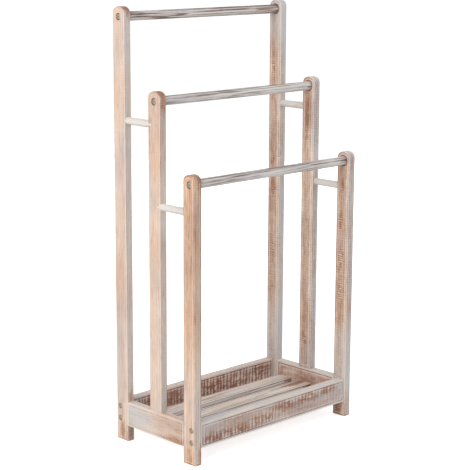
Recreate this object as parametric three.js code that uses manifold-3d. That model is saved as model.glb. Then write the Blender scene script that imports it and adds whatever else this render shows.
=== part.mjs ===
// A free-standing towel rack in whitewashed pine: three round rails stepped
// down from back to front over a low tray with a slatted shelf.
// Millimetres. +X runs along the rails to the right, -Y to the front, +Z up.
// The origin lies on the floor under the middle of the stand.

import * as THREE from 'three';
import { mergeVertices } from 'three/addons/utils/BufferGeometryUtils.js';
import Module from 'manifold-3d';

const wasm = await Module();
wasm.setup();

// Driving dimensions of the whole stand
const standWidth = 466;
const standDepth = 240;
const rearRailHeight = 880;
const middleRailHeight = 720;
const frontRailHeight = 568;

// Posts: flat bars with a rounded crown above the rail
const postThickness = 18;
const postWidth = 34;
const postEase = 2;
const crownAboveRail = 20;
const crownRadius = 22;
const shoulderRadius = 12;
const middlePostInset = 1.5;

// Round rails, seated in blind sockets in the posts
const railDiameter = 19;
const railEase = 1;
const railSocketDepth = 8;

// Short round spacers that tie the stepped posts together
const spacerDiameter = 15;
const spacerEase = 1;
const spacerSocketDepth = 10;
const rearSpacerDrop = 46;
const frontSpacerDrop = 56;

// Tray boards between the posts
const trayClearance = 34;
const apronHeight = 52;
const apronThickness = 18;
const apronEase = 1.5;
const longApronInset = 2;

// Shelf slats, housed in shallow mortises in the side boards
const slatCount = 3;
const slatWidth = 36;
const slatThickness = 12;
const slatEase = 1.2;
const slatDrop = 32;
const mortiseDepth = 8;

// Clearances
const seam = 0.3;
const fit = 0.3;
const overrun = 1;

// Pan-head screws: rail screws are the larger ones, board screws the smaller
const railScrew = {
  headRadius: 6.2,
  headHeight: 3.4,
  headRecess: 0.8,
  shankRadius: 2.4,
  grip: 26,
  pointLength: 5,
  crossLength: 8,
  crossWidth: 1.7,
  crossDepth: 1.8,
};
const boardScrew = {
  headRadius: 4.6,
  headHeight: 2.8,
  headRecess: 0.4,
  shankRadius: 2,
  grip: 28,
  pointLength: 4.5,
  crossLength: 5.6,
  crossWidth: 1.3,
  crossDepth: 1.5,
};
const counterboreGap = 0.9;
const boardScrewFromEdge = 13;

// Hidden beech dowels
const dowelDiameter = 8;
const dowelLength = 30;
const dowelEase = 1;
const dowelEndGap = 0.5;
const sideDowelFromTop = 10;
const sideDowelPitch = 16;
const middleDowelPitch = 16;

// Facet counts of the round forms
const crownFacets = 6;
const railFacets = 32;
const spacerFacets = 24;
const smallFacets = 16;
const domeFacets = 3;

// Places that follow from the dimensions
const apronTop = trayClearance + apronHeight;
const slatTop = apronTop - slatDrop;
const slatMiddleHeight = slatTop - slatThickness / 2;
const cornerPostX = standWidth / 2 - postThickness / 2;
const middlePostX = cornerPostX - middlePostInset;
const cornerPostY = standDepth / 2 - postWidth / 2;
const longApronY = standDepth / 2 - longApronInset - apronThickness / 2;
const sideApronX = standWidth / 2 - apronThickness / 2;
const trayInnerWidth = standWidth - 2 * apronThickness;
const trayInnerDepth = standDepth - 2 * (longApronInset + apronThickness);
const slatGap = (trayInnerDepth - slatCount * slatWidth) / (slatCount + 1);
const slatPitch = slatWidth + slatGap;
const rearSpacerHeight = middleRailHeight - rearSpacerDrop;
const frontSpacerHeight = frontRailHeight - frontSpacerDrop;
const upperDowelHeight = apronTop - sideDowelFromTop;
const sideDowelHeights = [upperDowelHeight - sideDowelPitch, upperDowelHeight];
const boardScrewHeights = [trayClearance + boardScrewFromEdge, apronTop - boardScrewFromEdge];

// The strip of a side board's top that a middle post stands on, and its middle
const seatOuterX = middlePostX + postThickness / 2;
const seatInnerX = standWidth / 2 - apronThickness;
const middleDowelX = (seatOuterX + seatInnerX) / 2;

// Finishes
const whitewashedPost = new THREE.MeshStandardMaterial({ color: 0xd3c2b4, roughness: 0.75 });
const streakedRail = new THREE.MeshStandardMaterial({ color: 0xaf9f98, roughness: 0.7 });
const paleSpacer = new THREE.MeshStandardMaterial({ color: 0xe4dace, roughness: 0.75 });
const sawnBoard = new THREE.MeshStandardMaterial({ color: 0xb59a8b, roughness: 0.8 });
const washedSlat = new THREE.MeshStandardMaterial({ color: 0xc0b1a3, roughness: 0.8 });
const bareBeech = new THREE.MeshStandardMaterial({ color: 0xd2b48c, roughness: 0.7 });
const zincSteel = new THREE.MeshStandardMaterial({ color: 0x9c9a95, roughness: 0.4, metalness: 0.9 });

const AXIS = {
  x: new THREE.Vector3(1, 0, 0),
  y: new THREE.Vector3(0, 1, 0),
  z: new THREE.Vector3(0, 0, 1),
};

// A closed geometry as a solid that can be cut
function toSolid(geometry) {
  const bare = geometry.index ? geometry.toNonIndexed() : geometry.clone();
  bare.deleteAttribute('normal');
  bare.deleteAttribute('uv');
  const welded = mergeVertices(bare);
  return new wasm.Manifold(new wasm.Mesh({
    numProp: 3,
    vertProperties: new Float32Array(welded.attributes.position.array),
    triVerts: new Uint32Array(welded.index.array),
  }));
}

function toGeometry(solid) {
  const mesh = solid.getMesh();
  const geometry = new THREE.BufferGeometry();
  geometry.setAttribute('position', new THREE.BufferAttribute(mesh.vertProperties, 3));
  geometry.setIndex(new THREE.BufferAttribute(mesh.triVerts, 1));
  geometry.computeVertexNormals();
  return geometry;
}

function cutAll(solid, tools) {
  return tools.reduce((body, tool) => body.subtract(tool), solid);
}

// A radius-and-height profile turned about an axis through the given point
function turned(profile, facets, axis, at) {
  const points = profile.map(([radius, height]) => new THREE.Vector2(radius, height));
  const geometry = new THREE.LatheGeometry(points, facets);
  const turn = new THREE.Quaternion().setFromUnitVectors(AXIS.y, axis);
  geometry.applyQuaternion(turn);
  geometry.translate(at.x, at.y, at.z);
  return geometry;
}

// A drill that goes from a point into the wood, with an overrun behind it
function drill(radius, depth, axis, at, facets = smallFacets) {
  const profile = [[0, -overrun], [radius, -overrun], [radius, depth], [0, depth]];
  return toSolid(turned(profile, facets, axis, at));
}

// A bar lying centred on an axis, with eased ends
function roundBar(diameter, length, ease, facets, axis) {
  const radius = diameter / 2;
  const half = length / 2;
  const profile = [
    [0, -half],
    [radius - ease, -half],
    [radius, -half + ease],
    [radius, half - ease],
    [radius - ease, half],
    [0, half],
  ];
  return turned(profile, facets, axis, new THREE.Vector3());
}

// An outline extruded to a thickness about its middle, its rims eased
function easedSlab(outline, thickness, ease) {
  const geometry = new THREE.ExtrudeGeometry(outline, {
    depth: thickness - 2 * ease,
    bevelEnabled: true,
    bevelThickness: ease,
    bevelSize: ease,
    bevelOffset: -ease,
    bevelSegments: 1,
    curveSegments: crownFacets,
  });
  geometry.translate(0, 0, ease - thickness / 2);
  return geometry;
}

function rectangle(width, height) {
  const outline = new THREE.Shape();
  outline.moveTo(-width / 2, -height / 2);
  outline.lineTo(width / 2, -height / 2);
  outline.lineTo(width / 2, height / 2);
  outline.lineTo(-width / 2, height / 2);
  outline.closePath();
  return outline;
}

// A slab's outline lies across Y and Z, and its thickness along X
function faceAlongX(geometry) {
  return geometry.applyMatrix4(new THREE.Matrix4().makeBasis(AXIS.y, AXIS.z, AXIS.x));
}

// A slab's outline lies across X and Z, and its thickness along Y
function faceAlongY(geometry) {
  return geometry.rotateX(Math.PI / 2);
}

// The side view of a post: straight sides, round shoulders and a flatter crown
function postOutline(height) {
  const half = postWidth / 2;
  const crownCentre = height - crownRadius;
  const reach = crownRadius - shoulderRadius;
  const shoulderOffset = half - shoulderRadius;
  const meet = Math.acos(shoulderOffset / reach);
  const shoulderCentre = crownCentre + reach * Math.sin(meet);
  const outline = new THREE.Shape();
  outline.moveTo(-half, 0);
  outline.lineTo(half, 0);
  outline.lineTo(half, shoulderCentre);
  outline.absarc(shoulderOffset, shoulderCentre, shoulderRadius, 0, meet, false);
  outline.absarc(0, crownCentre, crownRadius, meet, Math.PI - meet, false);
  outline.absarc(-shoulderOffset, shoulderCentre, shoulderRadius, Math.PI - meet, Math.PI, false);
  outline.closePath();
  return outline;
}

// Drills for a screw whose head lies in the post's outer face
function screwDrills(screw, outward, y, z) {
  const face = new THREE.Vector3(outward * postThickness / 2, y, z);
  const inward = new THREE.Vector3(-outward, 0, 0);
  return [
    drill(screw.headRadius + counterboreGap, screw.headRecess + screw.headHeight, inward, face),
    drill(screw.shankRadius + fit, postThickness + overrun, inward, face),
  ];
}

// The socket for a rail's end in the post's inner face
function railSocket(outward, z) {
  const face = new THREE.Vector3(-outward * postThickness / 2, 0, z);
  const axis = new THREE.Vector3(outward, 0, 0);
  return drill(railDiameter / 2 + fit, railSocketDepth, axis, face, railFacets);
}

// The socket for a spacer in the post's front or rear face
function spacerSocket(x, towards, z) {
  const face = new THREE.Vector3(x, towards * postWidth / 2, z);
  const axis = new THREE.Vector3(0, -towards, 0);
  return drill(spacerDiameter / 2 + fit, spacerSocketDepth, axis, face, spacerFacets);
}

function dowelHole(axis, at) {
  return drill(dowelDiameter / 2 + fit, dowelLength / 2 + dowelEndGap, axis, at);
}

// A corner post runs to the floor as a foot.
// outward is -1 on the left and 1 on the right; backward is -1 in front and 1 behind.
function cornerPost(railHeight, spacerHeight, outward, backward) {
  const body = toSolid(faceAlongX(easedSlab(
    postOutline(railHeight + crownAboveRail), postThickness, postEase)));
  const sideFaceY = -backward * postWidth / 2;
  const boardX = outward * (sideApronX - cornerPostX);
  const boardY = backward * (longApronY - cornerPostY);
  const tools = [
    railSocket(outward, railHeight),
    ...screwDrills(railScrew, outward, 0, railHeight),
    spacerSocket(0, -backward, spacerHeight),
    ...boardScrewHeights.flatMap((z) => screwDrills(boardScrew, outward, boardY, z)),
    ...sideDowelHeights.map((z) => dowelHole(
      new THREE.Vector3(0, backward, 0), new THREE.Vector3(boardX, sideFaceY, z))),
  ];
  return cutAll(body, tools);
}

// A middle post stands on the side board on two dowels.
// Its own frame starts at its foot.
function middlePost(outward) {
  const footHeight = apronTop + seam;
  const railZ = middleRailHeight - footHeight;
  const outline = postOutline(railZ + crownAboveRail + postEase);
  const slab = faceAlongX(easedSlab(outline, postThickness, postEase));
  slab.translate(0, 0, -postEase);
  const footTrim = new THREE.BoxGeometry(2 * postThickness, 2 * postWidth, 2 * postEase);
  footTrim.translate(0, 0, -postEase);
  const spacerX = outward * (cornerPostX - middlePostX);
  const dowelX = outward * (middleDowelX - middlePostX);
  const tools = [
    toSolid(footTrim),
    railSocket(outward, railZ),
    ...screwDrills(railScrew, outward, 0, railZ),
    spacerSocket(spacerX, 1, rearSpacerHeight - footHeight),
    spacerSocket(spacerX, -1, frontSpacerHeight - footHeight),
    ...[-1, 1].map((side) => dowelHole(
      AXIS.z, new THREE.Vector3(dowelX, side * middleDowelPitch / 2, 0))),
  ];
  return cutAll(toSolid(slab), tools);
}

// A rail spans the posts' inner faces, ends in their sockets, and takes a screw in each end
function rail(postX) {
  const clearSpan = 2 * postX - postThickness;
  const length = clearSpan + 2 * (railSocketDepth - seam);
  const bar = toSolid(roundBar(railDiameter, length, railEase, railFacets, AXIS.x));
  const pilots = [-1, 1].map((side) => drill(
    railScrew.shankRadius + fit,
    railScrew.grip + overrun,
    new THREE.Vector3(-side, 0, 0),
    new THREE.Vector3(side * length / 2, 0, 0)));
  return cutAll(bar, pilots);
}

// A spacer ends in the sockets of two posts, one behind the other
function spacer(clearSpan) {
  const length = clearSpan + 2 * (spacerSocketDepth - seam);
  return toSolid(roundBar(spacerDiameter, length, spacerEase, spacerFacets, AXIS.y));
}

// The long board at the front or back of the tray, screwed between two posts
function longApron() {
  const length = standWidth - 2 * postThickness - 2 * seam;
  const board = toSolid(faceAlongY(easedSlab(
    rectangle(length, apronHeight), apronThickness, apronEase)));
  const middle = trayClearance + apronHeight / 2;
  const pilots = boardScrewHeights.flatMap((z) => [-1, 1].map((side) => drill(
    boardScrew.shankRadius + fit,
    boardScrew.grip + overrun,
    new THREE.Vector3(-side, 0, 0),
    new THREE.Vector3(side * length / 2, 0, z - middle))));
  return cutAll(board, pilots);
}

// The short board at one side of the tray, with mortises for the slats
function sideApron(outward) {
  const length = standDepth - 2 * postWidth - 2 * seam;
  const middle = trayClearance + apronHeight / 2;
  const board = toSolid(faceAlongX(easedSlab(
    rectangle(length, apronHeight), apronThickness, apronEase)));
  const mortises = slatPlaces().map((y) => {
    const pocket = new THREE.BoxGeometry(
      mortiseDepth + overrun, slatWidth + 2 * fit, slatThickness + 2 * fit);
    const pocketX = -outward * (apronThickness - mortiseDepth + overrun) / 2;
    pocket.translate(pocketX, y, slatMiddleHeight - middle);
    return toSolid(pocket);
  });
  const endHoles = sideDowelHeights.flatMap((z) => [-1, 1].map((side) => dowelHole(
    new THREE.Vector3(0, -side, 0), new THREE.Vector3(0, side * length / 2, z - middle))));
  const seatX = outward * (middleDowelX - sideApronX);
  const seatHoles = [-1, 1].map((side) => dowelHole(
    new THREE.Vector3(0, 0, -1),
    new THREE.Vector3(seatX, side * middleDowelPitch / 2, apronHeight / 2)));
  return cutAll(board, [...mortises, ...endHoles, ...seatHoles]);
}

// Where the slats' middles lie, from front to back
function slatPlaces() {
  return Array.from({ length: slatCount }, (_, i) => (i - (slatCount - 1) / 2) * slatPitch);
}

function slat() {
  const length = trayInnerWidth + 2 * (mortiseDepth - seam);
  return toSolid(easedSlab(rectangle(length, slatWidth), slatThickness, slatEase));
}

// A pan-head screw along +X: its head's underside lies at x = 0, its point at the far end
function screwSolid(screw, throughPost) {
  const length = throughPost + screw.grip;
  const dome = Array.from({ length: domeFacets + 1 }, (_, i) => {
    const angle = (i / domeFacets) * Math.PI / 2;
    return [screw.headRadius * Math.sin(angle), -screw.headHeight * (1 + Math.cos(angle)) / 2];
  });
  const profile = [
    ...dome,
    [screw.headRadius, 0],
    [screw.shankRadius, 0],
    [screw.shankRadius, length - screw.pointLength],
    [0, length],
  ];
  const body = toSolid(turned(profile, smallFacets, AXIS.x, new THREE.Vector3()));
  const slots = [0, Math.PI / 2].map((turn) => {
    const slot = new THREE.BoxGeometry(2 * screw.crossDepth, screw.crossWidth, screw.crossLength);
    slot.rotateX(turn);
    slot.translate(-screw.headHeight, 0, 0);
    return toSolid(slot);
  });
  return cutAll(body, slots);
}

const stand = new THREE.Group();

function add(name, solid, material, x, y, z) {
  const mesh = new THREE.Mesh(toGeometry(solid), material);
  mesh.name = name;
  mesh.position.set(x, y, z);
  stand.add(mesh);
  return mesh;
}

const SIDES = [['left', -1], ['right', 1]];
const ENDS = [
  ['front', -1, frontRailHeight, frontSpacerHeight],
  ['rear', 1, rearRailHeight, rearSpacerHeight],
];

// Posts
for (const [side, outward] of SIDES) {
  for (const [end, backward, railHeight, spacerHeight] of ENDS) {
    const post = cornerPost(railHeight, spacerHeight, outward, backward);
    add(`${end}_${side}_post`, post, whitewashedPost, outward * cornerPostX, backward * cornerPostY, 0);
  }
  add(`middle_${side}_post`, middlePost(outward), whitewashedPost,
    outward * middlePostX, 0, apronTop + seam);
}

// Rails
add('front_rail', rail(cornerPostX), streakedRail, 0, -cornerPostY, frontRailHeight);
add('middle_rail', rail(middlePostX), streakedRail, 0, 0, middleRailHeight);
add('rear_rail', rail(cornerPostX), streakedRail, 0, cornerPostY, rearRailHeight);

// Spacers between the stepped posts
const spacerSpan = cornerPostY - postWidth;
for (const [side, outward] of SIDES) {
  for (const [end, backward, , spacerHeight] of ENDS) {
    add(`${end}_${side}_spacer`, spacer(spacerSpan), paleSpacer,
      outward * cornerPostX, backward * cornerPostY / 2, spacerHeight);
  }
}

// Tray boards and shelf slats
const apronMiddle = trayClearance + apronHeight / 2;
for (const [end, backward] of ENDS) {
  add(`${end}_apron`, longApron(), sawnBoard, 0, backward * longApronY, apronMiddle);
}
for (const [side, outward] of SIDES) {
  add(`${side}_apron`, sideApron(outward), sawnBoard, outward * sideApronX, 0, apronMiddle);
}
slatPlaces().forEach((y, i) => {
  add(`shelf_slat_${i + 1}`, slat(), washedSlat, 0, y, slatMiddleHeight);
});

// Screws, turned so that each points inwards from the post's outer face
function addScrew(name, screw, throughPost, outward, outerFaceX, y, z) {
  const headSeatX = outerFaceX - screw.headRecess - screw.headHeight + seam;
  const mesh = add(name, screwSolid(screw, throughPost), zincSteel, outward * headSeatX, y, z);
  mesh.rotation.z = outward > 0 ? Math.PI : 0;
}

const railScrewThrough = postThickness - railSocketDepth - railScrew.headRecess - railScrew.headHeight;
const boardScrewThrough = postThickness - boardScrew.headRecess - boardScrew.headHeight;
const cornerOuterX = cornerPostX + postThickness / 2;
const middleOuterX = middlePostX + postThickness / 2;
for (const [side, outward] of SIDES) {
  for (const [end, backward, railHeight] of ENDS) {
    addScrew(`${end}_${side}_rail_screw`, railScrew, railScrewThrough,
      outward, cornerOuterX, backward * cornerPostY, railHeight);
    boardScrewHeights.forEach((z, i) => {
      addScrew(`${end}_${side}_apron_screw_${i + 1}`, boardScrew, boardScrewThrough,
        outward, cornerOuterX, backward * longApronY, z);
    });
  }
  addScrew(`middle_${side}_rail_screw`, railScrew, railScrewThrough,
    outward, middleOuterX, 0, middleRailHeight);
}

// Dowels between side boards and corner posts, and under the middle posts
const sideJointY = standDepth / 2 - postWidth;
for (const [side, outward] of SIDES) {
  for (const [end, backward] of ENDS) {
    sideDowelHeights.forEach((z, i) => {
      const dowel = toSolid(roundBar(dowelDiameter, dowelLength, dowelEase, smallFacets, AXIS.y));
      add(`${end}_${side}_dowel_${i + 1}`, dowel, bareBeech,
        outward * sideApronX, backward * (sideJointY - seam / 2), z);
    });
  }
  [-1, 1].forEach((row, i) => {
    const dowel = toSolid(roundBar(dowelDiameter, dowelLength, dowelEase, smallFacets, AXIS.z));
    add(`middle_${side}_dowel_${i + 1}`, dowel, bareBeech,
      outward * middleDowelX, row * middleDowelPitch / 2, apronTop + seam / 2);
  });
}

export default stand;
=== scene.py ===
# %% [markdown]
# # A whitewashed towel rack with a shelf
#
# The object is a free-standing towel rack in pine: six flat posts carry three
# round rails that step down from back to front, over a low tray with a slatted
# shelf. The CAD model gives every piece its place and size. This lesson gives
# each piece its eased edges, its screws and its worn white finish.

import math

import bmesh
import bpy
from mathutils import Matrix, Vector


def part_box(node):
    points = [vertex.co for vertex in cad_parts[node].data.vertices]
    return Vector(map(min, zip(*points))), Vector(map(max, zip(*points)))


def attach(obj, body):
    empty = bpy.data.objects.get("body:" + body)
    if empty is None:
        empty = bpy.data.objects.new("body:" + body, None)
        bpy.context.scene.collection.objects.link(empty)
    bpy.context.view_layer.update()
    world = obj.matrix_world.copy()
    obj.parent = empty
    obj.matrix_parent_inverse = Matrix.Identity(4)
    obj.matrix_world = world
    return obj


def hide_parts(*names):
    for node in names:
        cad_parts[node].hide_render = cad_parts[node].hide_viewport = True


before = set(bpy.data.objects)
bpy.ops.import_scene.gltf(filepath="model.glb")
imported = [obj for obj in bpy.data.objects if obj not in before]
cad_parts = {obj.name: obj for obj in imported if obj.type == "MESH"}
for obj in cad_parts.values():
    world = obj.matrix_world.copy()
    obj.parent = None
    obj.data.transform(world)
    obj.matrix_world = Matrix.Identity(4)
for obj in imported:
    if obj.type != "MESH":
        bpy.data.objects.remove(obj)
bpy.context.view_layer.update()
MM = 0.001
print("CAD nodes:", len(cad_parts))

# %% [markdown]
# ## From a bmesh to a piece of the stand
#
# Every piece is shaped as a bmesh, in its final place, and then handed over once.
# A piece takes the place of one CAD node, so the handover asks for that node's
# name. Edges that turn sharply stay sharp, and the rest is shaded smooth with
# weighted normals. That keeps the flat faces flat while the rounded edges catch
# the light as sanded wood does.

# %% Hand a shape over
SHARP_ANGLE = math.radians(40)


def hand_over(shape, node):
    """Turns a bmesh into the piece that stands for one CAD node."""
    bmesh.ops.recalc_face_normals(shape, faces=shape.faces)
    mesh = bpy.data.meshes.new("dressed_" + node)
    shape.to_mesh(mesh)
    shape.free()
    piece = bpy.data.objects.new("dressed_" + node, mesh)
    bpy.context.scene.collection.objects.link(piece)
    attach(piece, "root")
    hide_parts(node)
    return piece


def shade_softly(piece):
    """Smooth shading that keeps sharp edges sharp and flat faces flat."""
    shape = bmesh.new()
    shape.from_mesh(piece.data)
    for face in shape.faces:
        face.smooth = True
    for edge in shape.edges:
        edge.smooth = edge.calc_face_angle(math.pi) < SHARP_ANGLE
    shape.to_mesh(piece.data)
    shape.free()
    even = piece.modifiers.new("even_shading", "WEIGHTED_NORMAL")
    even.keep_sharp = True


# %% [markdown]
# ## Drilling and cutting
#
# The sockets for the rails, the holes for the screws and the mortises for the
# slats are cut as a joiner cuts them, after the piece has its outer shape. Each
# cutter is a solid of its own, and a Boolean modifier takes it out. The result is
# kept and the cutters are thrown away, so that nothing live is left on the piece.

# %% Drills, blocks and the cut itself
ROUND_SIDES = 48


def drill_bit(radius, start, end, sides=ROUND_SIDES):
    """A round cutter between two points."""
    shape = bmesh.new()
    run = end - start
    turn = Vector((0, 0, 1)).rotation_difference(run).to_matrix().to_4x4()
    bmesh.ops.create_cone(
        shape,
        cap_ends=True,
        segments=sides,
        radius1=radius,
        radius2=radius,
        depth=run.length,
        matrix=Matrix.Translation((start + end) / 2) @ turn,
    )
    return shape


def block(low, high):
    """A plain box between two corners."""
    shape = bmesh.new()
    bmesh.ops.create_cube(shape, size=1)
    bmesh.ops.scale(shape, vec=high - low, verts=shape.verts)
    bmesh.ops.translate(shape, vec=(low + high) / 2, verts=shape.verts)
    return shape


def cut(piece, cutters):
    """Takes the cutters out of a piece one after another."""
    tools = []
    for shape in cutters:
        mesh = bpy.data.meshes.new("cutter")
        shape.to_mesh(mesh)
        shape.free()
        tool = bpy.data.objects.new("cutter", mesh)
        bpy.context.scene.collection.objects.link(tool)
        taking = piece.modifiers.new("cut", "BOOLEAN")
        taking.operation = "DIFFERENCE"
        taking.solver = "EXACT"
        taking.object = tool
        tools.append(tool)
    bpy.context.view_layer.update()
    graph = bpy.context.evaluated_depsgraph_get()
    result = bpy.data.meshes.new_from_object(piece.evaluated_get(graph))
    piece.modifiers.clear()
    piece.data = result
    result.name = piece.name
    for tool in tools:
        bpy.data.meshes.remove(tool.data)


# %% [markdown]
# ## The posts
#
# A post is a flat bar, 18 mm thick and 34 mm wide. Its top is a crown of three
# arcs that run into each other: a small shoulder, a flatter crown and a shoulder.
# A sander could round it by hand, but the six crowns are alike, so they were
# shaped on a machine. Here each arc is one point spun about the arc's centre,
# which gives true tangent arcs. The outline is filled, extruded through the
# thickness, and its rims are rounded with a bevel. The middle posts stand on the
# side boards, so the rims of their feet stay square.

# %% Outline of a post
CROWN_RADIUS = 22 * MM
SHOULDER_RADIUS = 12 * MM
POST_EASE = 2 * MM
ARC_STEPS = 10
SAME_PLACE = 0.002 * MM
X_AXIS = Vector((1, 0, 0))


def crown_arcs(half_width):
    """How far beside and above the crown's centre the shoulders' lie, and the angle to them."""
    reach = CROWN_RADIUS - SHOULDER_RADIUS
    offset = half_width - SHOULDER_RADIUS
    meet = math.acos(offset / reach)
    return offset, reach * math.sin(meet), meet


def spin_arc(shape, point, centre, angle):
    """Sweeps one point through an arc across Y and Z, and returns the last point."""
    swept = bmesh.ops.spin(
        shape,
        geom=[point],
        cent=centre,
        axis=X_AXIS,
        angle=angle,
        steps=ARC_STEPS,
        use_duplicate=False,
        use_merge=False,
    )
    return next(part for part in swept["geom_last"] if isinstance(part, bmesh.types.BMVert))


def post_blank(low, high):
    """The bar with its crown, between the corners of its CAD box, with square rims."""
    middle = (low + high) / 2
    crown = Vector((low.x, middle.y, high.z - CROWN_RADIUS))
    offset, rise, meet = crown_arcs((high.y - low.y) / 2)
    shoulder_height = crown.z + rise
    shape = bmesh.new()
    foot = shape.verts.new((low.x, high.y, low.z))
    side_top = shape.verts.new((low.x, high.y, shoulder_height))
    shape.edges.new((foot, side_top))
    shoulder = Vector((low.x, middle.y + offset, shoulder_height))
    point = spin_arc(shape, side_top, shoulder, meet)
    point = spin_arc(shape, point, crown, math.pi - 2 * meet)
    shoulder = Vector((low.x, middle.y - offset, shoulder_height))
    point = spin_arc(shape, point, shoulder, meet)
    other_foot = shape.verts.new((low.x, low.y, low.z))
    shape.edges.new((point, other_foot))
    shape.edges.new((other_foot, foot))
    bmesh.ops.remove_doubles(shape, verts=shape.verts, dist=SAME_PLACE)
    outline = bmesh.ops.contextual_create(shape, geom=shape.edges[:])
    grown = bmesh.ops.extrude_face_region(shape, geom=outline["faces"], use_keep_orig=True)
    moved = [part for part in grown["geom"] if isinstance(part, bmesh.types.BMVert)]
    bmesh.ops.translate(shape, vec=(high.x - low.x, 0, 0), verts=moved)
    bmesh.ops.recalc_face_normals(shape, faces=shape.faces)
    return shape


# %% Round the rims of the posts
POST_NODES = [
    "front_left_post",
    "front_right_post",
    "middle_left_post",
    "middle_right_post",
    "rear_left_post",
    "rear_right_post",
]
EASE_SEGMENTS = 4


def ease_edges(shape, edges, ease):
    """Rounds edges as sandpaper does."""
    bmesh.ops.bevel(
        shape,
        geom=edges,
        offset=ease,
        offset_type="OFFSET",
        segments=EASE_SEGMENTS,
        profile=0.5,
        affect="EDGES",
        material=-1,
        clamp_overlap=True,
    )


def is_rim(edge):
    """Rims run round the two large faces of a post, so both ends have the same X."""
    return abs((edge.verts[0].co - edge.verts[1].co).x) < SAME_PLACE


def is_above(edge, height):
    """Whether any end of an edge lies above a height."""
    return max(v.co.z for v in edge.verts) > height + SAME_PLACE


posts = {}
for node in POST_NODES:
    low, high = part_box(node)
    blank = post_blank(low, high)
    rims = [edge for edge in blank.edges if is_rim(edge)]
    if node.startswith("middle"):
        rims = [edge for edge in rims if is_above(edge, low.z)]
    ease_edges(blank, rims, POST_EASE)
    posts[node] = hand_over(blank, node)
print("posts:", len(posts), "each with", len(posts["front_left_post"].data.polygons), "faces")

# %% [markdown]
# ## Sockets and screw holes in the posts
#
# Each rail sits in a blind socket in the inner face of its posts and is held by a
# screw from outside, whose head lies in a shallow counterbore. The short round
# spacers sit in sockets in the front and rear faces. The corner posts also take
# two smaller screws each, which hold the long boards of the tray. A hole with
# steps in it could be cut by several drills one after another, but drills that
# share an axis and a face make a Boolean unsure, so each hole is one turned solid.

# %% Turn a solid from half of its section
def turned(top, outward, section):
    """Spins (radius, depth) points about an axis along X that starts at top and goes inward."""
    shape = bmesh.new()
    chain = [shape.verts.new((top.x - outward * d, top.y, top.z + r)) for r, d in section]
    links = [shape.edges.new(pair) for pair in zip(chain, chain[1:])]
    bmesh.ops.spin(
        shape,
        geom=chain + links,
        cent=(0, top.y, top.z),
        axis=X_AXIS,
        angle=2 * math.pi,
        steps=ROUND_SIDES,
        use_merge=True,
    )
    bmesh.ops.remove_doubles(shape, verts=shape.verts, dist=SAME_PLACE)
    bmesh.ops.recalc_face_normals(shape, faces=shape.faces)
    return shape


# %% Places of the joints, read from the CAD nodes
FIT = 0.3 * MM
RAIL_COUNTERBORE = 7.1 * MM
BOARD_COUNTERBORE = 5.5 * MM
RAIL_HEAD_DEPTH = 4.2 * MM
BOARD_HEAD_DEPTH = 3.2 * MM
RAIL_SHANK = 2.7 * MM
BOARD_SHANK = 2.3 * MM
LIP = 0.6 * MM
OVERRUN = 2 * LIP
FLARE = LIP + OVERRUN
THROUGH = 30 * MM
DOWEL_SIDES = 24


def middle_and_half(node):
    """The middle of a CAD node's box, and half of its size."""
    low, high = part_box(node)
    return (low + high) / 2, (high - low) / 2


def outer_point(box, node):
    """The point over a screw on the outer side of a box, and the way out of the stand there."""
    centre, _ = middle_and_half(node)
    outward = 1 if centre.x > 0 else -1
    side = box[1].x if outward > 0 else box[0].x
    return Vector((side, centre.y, centre.z)), outward


def board_screw_hole(post_box, screw):
    """A counterbore with a broken lip, and the shank's hole right through the post."""
    face, outward = outer_point(post_box, screw)
    section = [
        (0, -OVERRUN),
        (BOARD_COUNTERBORE + FLARE, -OVERRUN),
        (BOARD_COUNTERBORE, LIP),
        (BOARD_COUNTERBORE, BOARD_HEAD_DEPTH),
        (BOARD_SHANK, BOARD_HEAD_DEPTH),
        (BOARD_SHANK, THROUGH),
        (0, THROUGH),
    ]
    return turned(face, outward, section)


def rail_joint_hole(post_box, screw, rail):
    """Counterbore, shank hole and the rail's blind socket on one axis."""
    face, outward = outer_point(post_box, screw)
    low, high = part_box(rail)
    socket = (high.z - low.z) / 2 + FIT
    floor = abs(face.x) - high.x - FIT
    inner = post_box[1].x - post_box[0].x
    section = [
        (0, -OVERRUN),
        (RAIL_COUNTERBORE + FLARE, -OVERRUN),
        (RAIL_COUNTERBORE, LIP),
        (RAIL_COUNTERBORE, RAIL_HEAD_DEPTH),
        (RAIL_SHANK, RAIL_HEAD_DEPTH),
        (RAIL_SHANK, floor),
        (socket, floor),
        (socket, inner - LIP),
        (socket + FLARE, inner + OVERRUN),
        (0, inner + OVERRUN),
    ]
    return turned(face, outward, section)


def ends_along(node, run, extra=0):
    """The middles of a node's two ends along axis 0, 1 or 2, each moved out by extra."""
    low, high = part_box(node)
    start = (low + high) / 2
    end = start.copy()
    start[run] = low[run] - extra
    end[run] = high[run] + extra
    return start, end


def socket_for(node, sides=ROUND_SIDES):
    """A hole for a spacer or a dowel, a little wider and longer than the piece itself."""
    low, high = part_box(node)
    run = max(range(3), key=lambda axis: high[axis] - low[axis])
    across = (run + 1) % 3
    start, end = ends_along(node, run, FIT)
    return drill_bit((high[across] - low[across]) / 2 + FIT, start, end, sides)


def dowel_holes(end, side):
    """The two holes of a pair of dowels."""
    return [socket_for(f"{end}_{side}_dowel_{number}", DOWEL_SIDES) for number in (1, 2)]


# %% Cut the posts
for node, piece in posts.items():
    end, side, _ = node.split("_")
    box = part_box(node)
    cutters = [rail_joint_hole(box, f"{end}_{side}_rail_screw", end + "_rail")]
    spacer_ends = ["front", "rear"] if end == "middle" else [end]
    cutters += [socket_for(f"{name}_{side}_spacer") for name in spacer_ends]
    if end != "middle":
        for number in (1, 2):
            cutters.append(board_screw_hole(box, f"{end}_{side}_apron_screw_{number}"))
    cutters += dowel_holes(end, side)
    cut(piece, cutters)
    shade_softly(piece)
print("faces of a drilled post:", len(posts["front_left_post"].data.polygons))

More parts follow.
